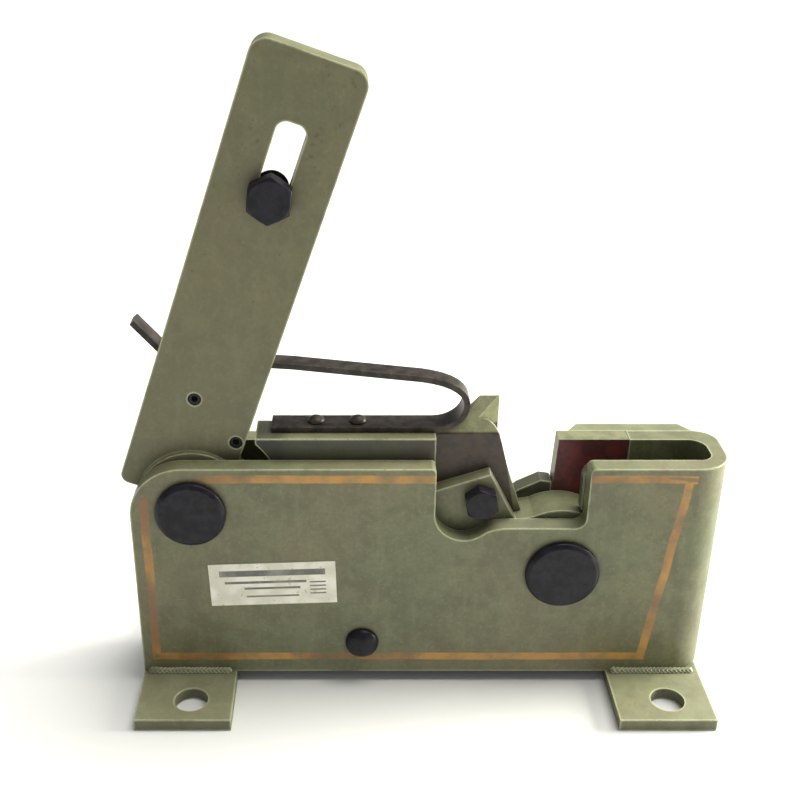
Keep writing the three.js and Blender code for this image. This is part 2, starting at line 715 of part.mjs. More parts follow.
// The four corners of the strip at each point of its middle line: it narrows round the bend
// and runs back so that it passes behind the lever.
function springStations() {
  const line = springLine().map(([x, z]) => new THREE.Vector2(x, z));
  return line.map((point, i) => {
    const along = line[Math.min(i + 1, line.length - 1)].clone().sub(line[Math.max(i - 1, 0)]);
    const off = new THREE.Vector2(along.y, -along.x).setLength(SPRING.thick / 2);
    const narrow = smoothStep((point.y - springLow) / (2 * SPRING_BEND.high));
    const upper = point.y > springLow + 1.9 * SPRING_BEND.high ? 1 : 0;
    const share = (SPRING_BACK.from - point.x) / (SPRING_BACK.from - SPRING_BACK.to);
    const back = upper * THREE.MathUtils.clamp(share, 0, 1);
    const half = THREE.MathUtils.lerp(SPRING.wide, SPRING.upperWide, narrow) / 2;
    const middle = THREE.MathUtils.lerp(SPRING.y, SPRING_BACK.y, back);
    return [
      [point.x + off.x, middle - half, point.y + off.y],
      [point.x + off.x, middle + half, point.y + off.y],
      [point.x - off.x, middle + half, point.y - off.y],
      [point.x - off.x, middle - half, point.y - off.y],
    ];
  });
}

function smoothStep(value) {
  const t = Math.min(1, Math.max(0, value));
  return t * t * (3 - 2 * t);
}

// A bar with four corners at each station, closed at both ends.
function stationBar(stations) {
  const faces = [0, 2, 1, 0, 3, 2];
  for (let i = 0; i + 1 < stations.length; i++) {
    for (let side = 0; side < 4; side++) {
      const a = 4 * i + side;
      const b = 4 * i + ((side + 1) % 4);
      faces.push(a, b + 4, a + 4, a, b, b + 4);
    }
  }
  const last = 4 * (stations.length - 1);
  faces.push(last, last + 1, last + 2, last, last + 2, last + 3);
  const geometry = new THREE.BufferGeometry();
  geometry.setAttribute("position", new THREE.Float32BufferAttribute(stations.flat(2), 3));
  return geometry.setIndex(faces);
}

function leafSpring() {
  const holes = RIVETS.xs.map((x) => toSolid(rivetShank(x, RIVETS.r + RUNNING_GAP, 1)));
  return cut(toSolid(stationBar(springStations())), ...holes);
}

function rivetShank(x, r, extra) {
  const top = BEAM_TOP + SPRING.thick + extra;
  const bottom = BEAM_TOP - RIVETS.deep - extra;
  const geometry = new THREE.CylinderGeometry(r, r, top - bottom, 24).rotateX(Math.PI / 2);
  return geometry.translate(x, SPRING.y, (top + bottom) / 2);
}

function springRivet(x) {
  const seat = BEAM_TOP + SPRING.thick;
  const profile = [new THREE.Vector2(0, 0)];
  const steps = 6;
  for (let i = 0; i <= steps; i++) {
    const a = (i / steps) * (Math.PI / 2);
    profile.push(new THREE.Vector2(RIVETS.headR * Math.cos(a), RIVETS.headH * Math.sin(a)));
  }
  const head = new THREE.LatheGeometry(profile, 24).rotateX(Math.PI / 2).translate(x, SPRING.y, seat);
  return join(toSolid(head), toSolid(rivetShank(x, RIVETS.r, 0)));
}

// ---- Label --------------------------------------------------------------------------------

function label() {
  const { x, z, wide, high, thick, turnDeg } = LABEL;
  const plate = new THREE.BoxGeometry(wide, thick, high);
  plate.rotateY(THREE.MathUtils.degToRad(-turnDeg));
  return toSolid(plate.translate(x, -thick / 2, z));
}

// ---- Assembly -----------------------------------------------------------------------------

const { olivePaint, blackSteel, springSteel, redBlade, bronze, zinc } = MATERIALS;

const machine = new THREE.Group();
machine.position.set(-MACHINE_CENTRE_X, -MACHINE_CENTRE_Y, 0);
machine.add(
  toMesh("frame", frame(), olivePaint),
  toMesh("foot_left", foot(FOOT_LEFT_X), olivePaint),
  toMesh("foot_right", foot(FOOT_RIGHT_X), olivePaint),
  toMesh("backing_plate", backingPlate(), olivePaint),
  toMesh("guide_block", guideBlock(), olivePaint),
  toMesh("fixed_blade", fixedBlade(), redBlade),
  ...BLADE_SCREWS.map((at, i) => toMesh(`fixed_blade_screw_${i + 1}`, bladeScrew(at), blackSteel)),
  toMesh("label", label(), MATERIALS.label),
  toMesh("spacer_tube", tube(SPACER.x, SPACER.z, SPACER.boltR + 0.2, SPACER.tubeR, PLATE, REAR_INNER, 32), zinc),
  toMesh("spacer_bolt", spacerBolt(), blackSteel),
  toMesh("spacer_washer", tube(SPACER.x, SPACER.z, SPACER.boltR + 0.3, 12, REAR_OUTER, REAR_OUTER + 2.5, 32), zinc),
  toMesh(
    "spacer_nut",
    hexPrism(SPACER.x, SPACER.z, 19, REAR_OUTER + 2.5, REAR_OUTER + 12.5).subtract(
      rod(SPACER.x, SPACER.z, SPACER.boltR + RUNNING_GAP, REAR_OUTER, REAR_OUTER + 20, 32),
    ),
    blackSteel,
  ),
  toMesh("lever", lever(), olivePaint),
  toMesh("roll_pin_upper", rollPin(ROLL_PINS.upper), blackSteel),
  toMesh("roll_pin_lower", rollPin(ROLL_PINS.lower), blackSteel),
  toMesh("clamp_bolt", clampBolt(), blackSteel),
  toMesh("clamp_ring", clampRing(), springSteel),
  toMesh("blade_arm", bladeArm(), olivePaint),
  toMesh("moving_blade", movingBlade(), redBlade),
  toMesh("moving_blade_bolt", movingBladeBolt(), blackSteel),
  toMesh("leaf_spring", leafSpring(), springSteel),
  ...RIVETS.xs.map((x, i) => toMesh(`spring_rivet_${i + 1}`, springRivet(x), springSteel)),
);

for (const [name, pin] of [["lever", LEVER_PIN], ["arm", ARM_PIN]]) {
  machine.add(
    toMesh(`${name}_pin`, pivotPin(pin), blackSteel),
    toMesh(`${name}_bush`, bush(pin), bronze),
    toMesh(`${name}_pin_washer`, pinWasher(pin), zinc),
    toMesh(`${name}_pin_circlip`, circlip(pin), springSteel),
  );
}

const part = new THREE.Group();
part.add(machine);

export default part;
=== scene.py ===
"""Looks of a hand-operated bar shear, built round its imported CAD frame.
Metres, +Z up, the machine's front faces -Y and its jaws are at the +X end."""

import json
import math

import bmesh
import bpy
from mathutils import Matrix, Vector, noise


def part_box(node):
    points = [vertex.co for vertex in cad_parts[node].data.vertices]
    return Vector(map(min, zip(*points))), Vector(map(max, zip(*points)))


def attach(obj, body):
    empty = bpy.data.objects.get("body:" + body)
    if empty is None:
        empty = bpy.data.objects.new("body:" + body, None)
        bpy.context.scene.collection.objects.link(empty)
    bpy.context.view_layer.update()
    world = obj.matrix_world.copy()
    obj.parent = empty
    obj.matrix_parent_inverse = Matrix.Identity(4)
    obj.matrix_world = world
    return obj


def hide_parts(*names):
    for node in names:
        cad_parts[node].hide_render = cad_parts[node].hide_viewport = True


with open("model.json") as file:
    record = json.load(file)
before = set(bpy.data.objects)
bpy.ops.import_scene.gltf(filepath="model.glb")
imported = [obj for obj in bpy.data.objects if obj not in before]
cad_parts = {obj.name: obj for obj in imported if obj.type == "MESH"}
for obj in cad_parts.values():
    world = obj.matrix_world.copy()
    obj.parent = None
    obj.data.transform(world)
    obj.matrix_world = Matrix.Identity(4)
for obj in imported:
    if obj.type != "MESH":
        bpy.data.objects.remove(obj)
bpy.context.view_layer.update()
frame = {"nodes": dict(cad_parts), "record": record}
NODES = frame["nodes"]
BODY_OF = {n: body for body, names in frame["record"]["behaviour"]["bodies"].items() for n in names}
MM = 0.001

# ---- Shader graphs ------------------------------------------------------------------------------

SHADE_SAMPLES = 6  # rays for each look at nearby edges and corners


def srgb(red, green, blue):
    """A colour given as 0 to 255 on screen, as the linear colour that shaders use."""

    def linear(channel):
        share = channel / 255
        return share / 12.92 if channel < 10 else ((share + 0.055) / 1.055) ** 2.4

    return (linear(red), linear(green), linear(blue), 1.0)


class Graph:
    """A material's node graph, with a few short words for the nodes that every finish here uses."""

    def __init__(self, name):
        self.material = bpy.data.materials.new(name)
        self.material.use_nodes = True
        self.tree = self.material.node_tree
        self.shader = self.tree.nodes["Principled BSDF"]
        self.where = self.node("ShaderNodeTexCoord").outputs["Object"]

    def node(self, kind, inputs=None, **settings):
        made = self.tree.nodes.new(kind)
        for key, value in settings.items():
            setattr(made, key, value)
        for key, value in (inputs or {}).items():
            self.put(made.inputs[key], value)
        return made

    def put(self, socket, value):
        if isinstance(value, bpy.types.NodeSocket):
            self.tree.links.new(value, socket)
        else:
            socket.default_value = value

    def math(self, operation, a, b=0.0):
        return self.node("ShaderNodeMath", {0: a, 1: b}, operation=operation).outputs[0]

    def times(self, first, *others):
        for other in others:
            first = self.math("MULTIPLY", first, other)
        return first

    def either(self, first, *others):
        for other in others:
            first = self.math("MAXIMUM", first, other)
        return first

    def noise(self, size, detail=3.0, roughness=0.5, stretch=None):
        """Smooth noise from 0 to 1 whose lumps are about size metres across."""
        vector = self.where
        if stretch:
            vector = self.node("ShaderNodeMapping", {"Vector": vector, "Scale": stretch}).outputs[0]
        inputs = {"Vector": vector, "Scale": 1 / size, "Detail": detail, "Roughness": roughness}
        return self.node("ShaderNodeTexNoise", inputs).outputs[0]

    def step(self, value, low, high):
        """0 below low, 1 above high, smooth between them."""
        inputs = {"Value": value, "From Min": low, "From Max": high}
        return self.node("ShaderNodeMapRange", inputs, interpolation_type="SMOOTHSTEP").outputs[0]

    def span(self, value, low, high):
        """value, which runs from 0 to 1, as a number from low to high."""
        return self.node("ShaderNodeMapRange", {"Value": value, "To Min": low, "To Max": high}).outputs[0]

    def band(self, value, low, high, soft):
        """1 where value is from low to high, with soft ends."""
        above = self.step(value, low - soft, low + soft)
        below = self.step(value, high + soft, high - soft)
        return self.times(above, below)

    def mix(self, factor, a, b):
        """Colour a turning into colour b as factor goes from 0 to 1."""
        made = self.node("ShaderNodeMix", data_type="RGBA")
        self.put(made.inputs[0], factor)
        self.put(made.inputs[6], a)
        self.put(made.inputs[7], b)
        return made.outputs[2]

    def along(self, direction, vector=None):
        """How far each point is along a direction."""
        inputs = {0: vector or self.where, 1: direction}
        return self.node("ShaderNodeVectorMath", inputs, operation="DOT_PRODUCT").outputs["Value"]

    def facing(self, direction):
        """How far the surface of the piece faces a direction, from -1 to 1."""
        return self.along(direction, self.node("ShaderNodeTexCoord").outputs["Normal"])

    def edges(self, reach):
        """Near 1 on edges and corners and 0 on flat faces."""
        soft = self.node("ShaderNodeBevel", {"Radius": reach}, samples=SHADE_SAMPLES).outputs[0]
        true = self.node("ShaderNodeNewGeometry").outputs["Normal"]
        turned = self.node("ShaderNodeVectorMath", {0: soft, 1: true}, operation="DOT_PRODUCT")
        return self.step(turned.outputs["Value"], 0.995, 0.86)

    def crevices(self, reach):
        """Near 1 in corners and beside other parts, and 0 in the open."""
        occlusion = self.node("ShaderNodeAmbientOcclusion", {"Distance": reach}, samples=SHADE_SAMPLES)
        return self.step(occlusion.outputs["AO"], 0.85, 0.3)

    def relief(self, *layers):
        """Bumps from (height from 0 to 1, its real height in metres) layers."""
        normal = None
        for height, size in layers:
            made = self.node("ShaderNodeBump", {"Height": height, "Distance": size, "Strength": 1.0})
            if normal:
                self.put(made.inputs["Normal"], normal)
            normal = made.outputs[0]
        self.put(self.shader.inputs["Normal"], normal)

    def finish(self, **sockets):
        for name, value in sockets.items():
            self.put(self.shader.inputs[name.replace("_", " ")], value)
        return self.material


# ---- Finishes -----------------------------------------------------------------------------------

OLIVE = srgb(110, 111, 81)
OLIVE_LIGHT = srgb(130, 131, 98)
OLIVE_DARK = srgb(92, 92, 65)
OLIVE_GREEN = srgb(98, 107, 72)
OLIVE_WARM = srgb(115, 106, 78)
# Chalky pale olive for worn paint and a painted highlight along edges.
OLIVE_WORN_EDGE_HIGHLIGHT = srgb(204, 208, 170)
# Pale olive for a dusting and painted top light on upward faces.
OLIVE_DUSTING_AND_TOP_LIGHT = srgb(176, 177, 146)
# Deep olive for painted shade between the cheeks and on the arm's beam front.
OLIVE_PAINTED_SHADE = srgb(50, 53, 37)
# Dark brown for grime specks, and for painted shade in crevices.
GRIME_AND_SHADE = srgb(54, 48, 38)
RUST = srgb(84, 54, 36)
FILINGS = srgb(38, 38, 32)
# Dark olive for painted shade at the arm's toothed end.
TOOTH_PAINTED_SHADE = srgb(38, 40, 29)
BEAM_BROWN = srgb(64, 52, 42)
LEVER_BROWN = srgb(100, 96, 64)
BARE_STEEL = srgb(150, 148, 140)
LINE_GOLD = srgb(190, 138, 66)
LINE_BROWN = srgb(138, 96, 60)


def painted(name, lump=0.00006, grain=0.00003, speck_from=0.7, dusting_and_top_light_share=0.3, marks=None):
    """Brushed olive enamel over forged or flame-cut steel: mottled, with a dusting and painted top light
    on upward faces, worn paint and painted highlight at its edges, painted shade in crevices.
    """
    g = Graph(name)
    broad = g.noise(0.075, detail=4)
    patch = g.noise(0.016, detail=5, roughness=0.62)
    fine = g.noise(0.0022, detail=4, roughness=0.7)
    brushed = g.noise(0.006, detail=3, stretch=(1.0, 1.0, 0.16))
    colour = g.mix(g.step(patch, 0.36, 0.66), OLIVE_DARK, OLIVE)
    colour = g.mix(g.times(g.step(broad, 0.42, 0.68), 0.6), colour, OLIVE_WARM)
    colour = g.mix(g.times(g.step(broad, 0.5, 0.28), 0.5), colour, OLIVE_GREEN)
    colour = g.mix(g.times(g.step(brushed, 0.5, 0.8), 0.3), colour, OLIVE_LIGHT)
    colour = g.mix(g.times(g.step(fine, 0.5, 0.68), 0.45), colour, OLIVE_DARK)
    colour = g.mix(g.times(g.step(fine, 0.46, 0.3), 0.4), colour, OLIVE_LIGHT)
    if marks:
        colour = marks(g, colour)
    # A dusting and painted top light: upward faces lightened towards pale olive.
    dusting_and_top_light = g.times(g.step(g.facing((0, 0, 1)), 0.5, 0.95), g.span(patch, 0.25, 0.75), dusting_and_top_light_share)
    colour = g.mix(dusting_and_top_light, colour, OLIVE_DUSTING_AND_TOP_LIGHT)
    # Worn paint and painted highlight: edges lightened towards chalky pale olive.
    rubbed = g.times(g.edges(2.2 * MM), g.step(patch, 0.2, 0.5))
    colour = g.mix(g.times(rubbed, 0.8), colour, OLIVE_WORN_EDGE_HIGHLIGHT)
    chipped = g.times(g.edges(0.9 * MM), g.step(g.noise(0.004, detail=4), 0.6, 0.66))
    colour = g.mix(g.times(chipped, 0.8), colour, RUST)
    spots = g.step(g.noise(0.0017, detail=2), speck_from, speck_from + 0.05)
    specks = g.times(spots, g.step(patch, 0.44, 0.6))
    colour = g.mix(g.times(specks, 0.75), colour, GRIME_AND_SHADE)
    # Painted shade: corners and places beside other parts darkened by the occlusion mask.
    crevice_shade = g.times(g.crevices(0.012), g.span(patch, 0.3, 1.0))
    colour = g.mix(g.times(crevice_shade, 0.7), colour, GRIME_AND_SHADE)
    rough = g.math("ADD", g.span(patch, 0.26, 0.46), g.times(crevice_shade, 0.2))
    rough = g.math("ADD", rough, g.times(fine, 0.12))
    g.relief((g.noise(0.0065, detail=2), lump), (fine, grain), (specks, -0.00005), (chipped, -0.0001))
    return g.finish(Base_Color=colour, Roughness=rough, IOR=1.5)


def toe_grime(g, colour):
    """Black grease and filings on the toe of the rear cheek, beside the fixed blade."""
    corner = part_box("fixed_blade")[0]
    where = g.times(
        g.band(g.along((1, 0, 0)), corner.x - 26 * MM, corner.x, 1 * MM),
        g.band(g.along((0, 0, 1)), corner.z + 0.5 * MM, corner.z + 14 * MM, 2 * MM),
        g.step(g.along((0, 1, 0)), 10 * MM, 12 * MM),
    )
    return g.mix(g.times(where, g.span(g.noise(0.006, detail=4), 0.55, 1.0)), colour, FILINGS)


def line_round_cheek(g, colour):
    """The gold line painted by hand round the front cheek, faded and uneven, over the toe's grime."""
    low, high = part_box("frame")
    left, right = low.x + 8.9 * MM, high.x
    top, bottom = high.z - 6.8 * MM, low.z + 12.0 * MM
    half = 2.7 * MM
    notch_left, notch_right = low.x + 185 * MM, low.x + 281 * MM
    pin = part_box("lever_pin")[1].x - 14 * MM
    runs = [
        ((pin, top), (notch_left, top)),
        ((notch_right, top), (right - 24 * MM, top)),
        ((left, top - 16 * MM), (left, bottom)),
        ((left, bottom), (right - 42 * MM, bottom)),
        ((right - 26 * MM, top - 4 * MM), (right - 42 * MM, bottom)),
    ]
    waver = g.span(g.noise(0.03, detail=1), -0.9 * MM, 0.9 * MM)
    line, rims = 0.0, 0.0
    for start, end in runs:
        start, end = Vector((start[0], 0, start[1])), Vector((end[0], 0, end[1]))
        way = (end - start).normalized()
        side = Vector((-way.z, 0, way.x))
        across = g.math("ADD", g.math("SUBTRACT", g.along(side), start.dot(side)), waver)
        length = g.band(g.along(way), start.dot(way) - half, end.dot(way) + half, 0.4 * MM)
        line = g.either(g.times(g.band(across, -half, half, 0.5 * MM), length), line)
        rim = g.step(g.math("ABSOLUTE", across), 0.35 * half, 0.7 * half)
        rims = g.either(g.times(rim, length), rims)
    on_front = g.step(g.along((0, 1, 0)), low.y + 0.25 * MM, low.y + 0.1 * MM)
    line = g.times(line, on_front)
    colour = toe_grime(g, colour)
    worn = g.span(g.step(g.noise(0.011, detail=5, roughness=0.65), 0.3, 0.62), 0.4, 0.9)
    thin = g.span(rims, 0.45, 1.0)
    ink = g.mix(g.times(g.step(g.noise(0.045, detail=4), 0.4, 0.6), thin), LINE_BROWN, LINE_GOLD)
    return g.mix(g.times(line, worn, thin), colour, ink)


def rust_at_top(g, colour):
    """Pitting and rust freckles on the upper end of the lever."""
    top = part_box("lever")[1].z
    height = g.step(g.along((0, 0, 1)), top - 160 * MM, top - 30 * MM)
    patch = g.noise(0.02, detail=5, roughness=0.65)
    freckles = g.step(g.noise(0.0045, detail=4, roughness=0.65), 0.57, 0.64)
    stain = g.times(g.step(patch, 0.5, 0.66), height)
    colour = g.mix(0.4, colour, LEVER_BROWN)
    colour = g.mix(g.times(stain, 0.45), colour, OLIVE_DARK)
    return g.mix(g.times(freckles, stain, 0.85), colour, RUST)


def painted_shade_between_cheeks(g, colour):
    """Olive darkened with painted shade, for parts that sit down between the cheeks."""
    return g.mix(0.75, colour, OLIVE_PAINTED_SHADE)


def arm_marks(g, colour):
    """The arm's beam: painted shade with some grime on its front, painted shade at its toothed end, and
    browner towards the blade.
    """
    low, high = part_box("blade_arm")
    blade_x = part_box("moving_blade")[0].x
    patch = g.noise(0.009, detail=4, roughness=0.6)
    # Painted shade with some grime: the beam's upper front faces darkened, up to the moving blade.
    front = g.step(g.facing((0, -1, 0)), 0.4, 0.8)
    beam = g.times(g.step(g.along((0, 0, 1)), high.z - 24 * MM, high.z - 21 * MM), front)
    beam = g.times(beam, g.step(g.along((1, 0, 0)), blade_x + 4 * MM, blade_x - 1 * MM))
    colour = g.mix(g.times(beam, g.span(patch, 0.72, 1.0)), colour, OLIVE_PAINTED_SHADE)
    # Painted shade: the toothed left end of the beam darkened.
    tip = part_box("spring_rivet_1")[0].x - 21 * MM
    teeth = g.times(g.step(g.along((1, 0, 0)), tip + 12 * MM, tip + 2 * MM), g.span(patch, 0.85, 1.0))
    teeth = g.times(teeth, g.step(g.along((0, 0, 1)), low.z + 60 * MM, low.z + 70 * MM))
    colour = g.mix(teeth, colour, TOOTH_PAINTED_SHADE)
    near_blade = g.step(g.along((1, 0, 0)), blade_x - 30 * MM, blade_x - 8 * MM)
    brown = g.times(near_blade, beam, g.step(patch, 0.3, 0.5))
    return g.mix(g.times(brown, 0.8), colour, BEAM_BROWN)


def blade(name, front_tones, bare=None):
    """A blade: a dull, scaled front face, olive overspray elsewhere and a rubbed cutting edge.
    bare, if given, says where on the front face there is no overspray."""
    g = Graph(name)
    patch = g.noise(0.008, detail=5, roughness=0.65)
    fine = g.noise(0.0015, detail=4, roughness=0.7)
    front = g.step(g.facing((0, -1, 0)), 0.45, 0.8)
    dull = g.mix(g.step(patch, 0.38, 0.62), front_tones[0], front_tones[1])
    dull = g.mix(g.times(g.step(fine, 0.55, 0.7), 0.6), dull, front_tones[2])
    other = g.mix(g.step(patch, 0.35, 0.6), OLIVE, OLIVE_LIGHT)
    other = g.mix(g.times(g.step(fine, 0.5, 0.68), 0.4), other, OLIVE_DARK)
    colour = g.mix(g.times(front, bare(g)) if bare else front, other, dull)
    edge = g.times(g.edges(1.3 * MM), g.step(g.noise(0.005, detail=4), 0.42, 0.6))
    colour = g.mix(g.times(edge, 0.5), colour, BARE_STEEL)
    # Painted shade: corners and places beside other parts darkened by the occlusion mask.
    crevice_shade = g.crevices(0.01)
    colour = g.mix(g.times(crevice_shade, 0.6), colour, GRIME_AND_SHADE)
    g.relief((g.noise(0.004, detail=3), 0.00006), (fine, 0.00004))
    rough = g.span(patch, 0.32, 0.62)
    return g.finish(Base_Color=colour, Roughness=rough, Metallic=g.times(edge, 0.5), IOR=1.5)


def below_shoulder(g):
    """The part of the moving blade's front face that shows between the beam and the lug."""
    low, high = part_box("moving_blade")
    under = g.step(g.along((0, 0, 1)), high.z - 17.4 * MM, high.z - 18.6 * MM)
    slanted = Vector((1, 0, 0.19))
    corner = Vector((low.x + 40.5 * MM, 0, high.z - 20 * MM)).dot(slanted)
    return g.times(under, g.step(g.along(slanted), corner + 0.8 * MM, corner - 0.8 * MM))


def steel(name, dark, light, wear, rough, metal, gloss=0.5):
    """Blacked, scaled or plated steel, with its edges rubbed towards the wear colour."""
    g = Graph(name)
    patch = g.noise(0.007, detail=5, roughness=0.6)
    fine = g.noise(0.0012, detail=3, roughness=0.7)
    colour = g.mix(g.step(patch, 0.36, 0.64), dark, light)
    colour = g.mix(g.times(g.step(fine, 0.52, 0.7), 0.5), colour, dark)
    rubbed = g.times(g.edges(0.8 * MM), g.step(g.noise(0.003, detail=4), 0.4, 0.62))
    colour = g.mix(g.times(rubbed, 0.6), colour, wear)
    # Painted shade: corners and places beside other parts darkened by the occlusion mask.
    crevice_shade = g.crevices(0.005)
    colour = g.mix(g.times(crevice_shade, 0.5), colour, GRIME_AND_SHADE)
    roughness = g.math("ADD", g.span(patch, *rough), g.times(fine, 0.1))
    g.relief((g.noise(0.0035, detail=3), 0.000035), (fine, 0.00002))
    return g.finish(
        Base_Color=colour,
        Roughness=roughness,
        Metallic=metal,
        Specular_IOR_Level=gloss,
    )


LABEL_TURN = math.radians(2.1)
LABEL_BARS = [  # left, right, bottom and top of each printed bar, from the card's middle, in mm
    (-33.0, 33.0, 6.0, 10.4),
    (-30.0, 21.0, 0.6, 2.4),
    (-18.0, 17.0, -3.8, -2.2),
    (-17.0, 16.0, -9.6, -8.4),
    (23.0, 33.0, 0.2, 1.2),
    (23.0, 33.0, -2.6, -1.6),
    (23.0, 33.0, -5.4, -4.4),
    (23.0, 33.0, -8.2, -7.2),
]


def printed_card(name):
    """A cream card with a few plain bars, and no lettering."""
    g = Graph(name)
    low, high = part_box("label")
    centre = (low + high) / 2
    right = Vector((math.cos(LABEL_TURN), 0, math.sin(LABEL_TURN)))
    up = Vector((-math.sin(LABEL_TURN), 0, math.cos(LABEL_TURN)))
    across = g.math("SUBTRACT", g.along(right), centre.dot(right))
    above = g.math("SUBTRACT", g.along(up), centre.dot(up))
    ink = 0.0
    blur = 0.12 * MM
    for x0, x1, z0, z1 in LABEL_BARS:
        wide = g.band(across, x0 * MM, x1 * MM, blur)
        tall = g.band(above, z0 * MM, z1 * MM, blur)
        ink = g.either(g.times(wide, tall), ink)
    patch = g.noise(0.012, detail=4)
    fine = g.noise(0.0012, detail=3, roughness=0.7)
    card = g.mix(g.step(patch, 0.36, 0.66), srgb(214, 211, 193), srgb(236, 233, 219))
    faded = g.times(ink, g.span(g.step(patch, 0.3, 0.6), 0.66, 0.9))
    colour = g.mix(faded, card, srgb(64, 62, 60))
    scuff = g.times(g.step(g.noise(0.003, detail=4), 0.63, 0.7), 0.5)
    colour = g.mix(scuff, colour, srgb(150, 144, 122))
    g.relief((patch, 0.00006), (fine, 0.000012))
    return g.finish(Base_Color=colour, Roughness=g.span(patch, 0.32, 0.5))


PAINT = painted("olive_enamel", marks=line_round_cheek)
# The feet and backing plate get a stronger dusting and painted top light on their upward faces.
FOOT_PAINT = painted("olive_enamel_feet", lump=0.00008, speck_from=0.68, dusting_and_top_light_share=0.55)
LEVER_PAINT = painted(
    "olive_enamel_lever", lump=0.00014, grain=0.00005, speck_from=0.71, marks=rust_at_top
)
ARM_PAINT = painted("olive_enamel_arm", lump=0.0001, marks=arm_marks)
# Olive enamel with painted shade, for the guide block between the cheeks.
PAINTED_SHADE_ENAMEL = painted("olive_enamel_shaded", marks=painted_shade_between_cheeks)
BEAD_PAINT = painted("olive_enamel_weld", lump=0.0001, grain=0.00006, speck_from=0.66)
BLACK = steel(
    "black_oxide",
    dark=srgb(20, 18, 24),
    light=srgb(34, 32, 40),
    wear=srgb(112, 110, 118),
    rough=(0.2, 0.36),
    metal=0.1,
    gloss=0.22,
)
SPRING = steel(
    "spring_scale",
    dark=srgb(40, 35, 32),
    light=srgb(68, 60, 54),
    wear=srgb(124, 116, 106),
    rough=(0.28, 0.46),
    metal=0.3,
    gloss=0.35,
)
ZINC = steel(
    "zinc_plate",
    dark=srgb(130, 130, 126),
    light=srgb(168, 168, 164),
    wear=srgb(205, 205, 200),
    rough=(0.28, 0.42),
    metal=0.9,
)
BRONZE = steel(
    "bronze_bush",
    dark=srgb(122, 86, 46),
    light=srgb(164, 122, 66),
    wear=srgb(205, 170, 110),
    rough=(0.3, 0.45),
    metal=1.0,
)
RED_BLADE = blade("red_blade", (srgb(78, 36, 36), srgb(108, 44, 44), srgb(62, 44, 38)))
BROWN_BLADE = blade(
    "brown_blade", (srgb(44, 36, 30), srgb(66, 54, 44), srgb(54, 32, 28)), bare=below_shoulder
)
CARD = printed_card("label_card")

# ---- Pieces from the CAD solids -----------------------------------------------------------------


def settle(piece, nodes, material):
    """The piece stands for these CAD nodes and rides with them."""
    piece.data.materials.clear()
    piece.data.materials.append(material)
    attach(piece, BODY_OF[nodes[0]])
    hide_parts(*nodes)
    return piece


def soften(piece, width, segments=2, angle=28):
    """Rounds the piece's edges and shades the faces between them smoothly."""
    for face in piece.data.polygons:
        face.use_smooth = True
    bevel = piece.modifiers.new("rounded_edges", "BEVEL")
    bevel.width = width
    bevel.segments = segments
    bevel.limit_method = "ANGLE"
    bevel.angle_limit = math.radians(angle)
    bevel.miter_outer = "MITER_ARC"
    bevel.harden_normals = False
    weighted = piece.modifiers.new("flat_faces", "WEIGHTED_NORMAL")
    weighted.weight = 100
    weighted.keep_sharp = True
    return piece


def link(name, mesh):
    piece = bpy.data.objects.new(name, mesh)
    bpy.context.scene.collection.objects.link(piece)
    return piece


def rounded(node, material, width, segments):
    """The CAD node's own shape with its edges rounded, as cast, forged or sawn metal has them."""
    shape = bmesh.new()
    shape.from_mesh(NODES[node].data)
    bmesh.ops.remove_doubles(shape, verts=shape.verts, dist=0.005 * MM)
    bmesh.ops.dissolve_limit(
        shape,
        angle_limit=math.radians(0.5),
        verts=shape.verts,
        edges=shape.edges,
        use_dissolve_boundaries=False,
    )
    mesh = bpy.data.meshes.new(f"{node}_rounded")
    shape.to_mesh(mesh)
    shape.free()
    piece = soften(link(f"{node}_rounded", mesh), width, segments)
    return settle(piece, [node], material)


for node, slot, material, width in [
    ("frame", "frame_paint", PAINT, 2.6),
    ("foot_left", "frame_paint", FOOT_PAINT, 1.8),
    ("foot_right", "frame_paint", FOOT_PAINT, 1.8),
    ("backing_plate", "frame_paint", FOOT_PAINT, 2.0),
    ("guide_block", "frame_paint", PAINTED_SHADE_ENAMEL, 1.0),
    ("fixed_blade", "blade_red", RED_BLADE, 0.8),
    ("fixed_blade_screw_1", "black_steel", BLACK, 0.6),
    ("fixed_blade_screw_2", "black_steel", BLACK, 0.6),
    ("label", "label_card", CARD, 0.15),
    ("spacer_tube", "zinc", ZINC, 0.4),
    ("spacer_washer", "black_steel", BLACK, 0.4),
    ("lever_pin", "black_steel", BLACK, 1.0),
    ("lever_pin_washer", "zinc", ZINC, 0.4),
    ("lever_pin_circlip", "black_steel", BLACK, 0.25),
    ("arm_pin", "black_steel", BLACK, 1.0),
    ("arm_pin_washer", "zinc", ZINC, 0.4),
    ("arm_pin_circlip", "black_steel", BLACK, 0.25),
    ("lever", "lever_paint", LEVER_PAINT, 2.4),
    ("lever_bush", "bronze", BRONZE, 0.4),
    ("roll_pin_upper", "black_steel", BLACK, 0.5),
    ("roll_pin_lower", "black_steel", BLACK, 0.5),
    ("clamp_ring", "spring_steel", SPRING, 0.25),
    ("blade_arm", "arm_paint", ARM_PAINT, 1.3),
    ("arm_bush", "bronze", BRONZE, 0.4),
    ("moving_blade", "arm_paint", BROWN_BLADE, 1.0),
    ("leaf_spring", "spring_steel", SPRING, 0.5),
]:
    rounded(node, material, width * MM, segments=3 if width > 1.5 else 2)

# ---- Turned, hexagonal and threaded pieces ------------------------------------------------------

TURNS = 72  # points round a turned piece
THREAD_TURNS = 36  # points round a thread
THREAD_STEPS = 8  # rings in each turn of a thread
THREAD_BEVEL, THREAD_ANGLE = 0.02 * MM, 170
DOME_STEPS = 8


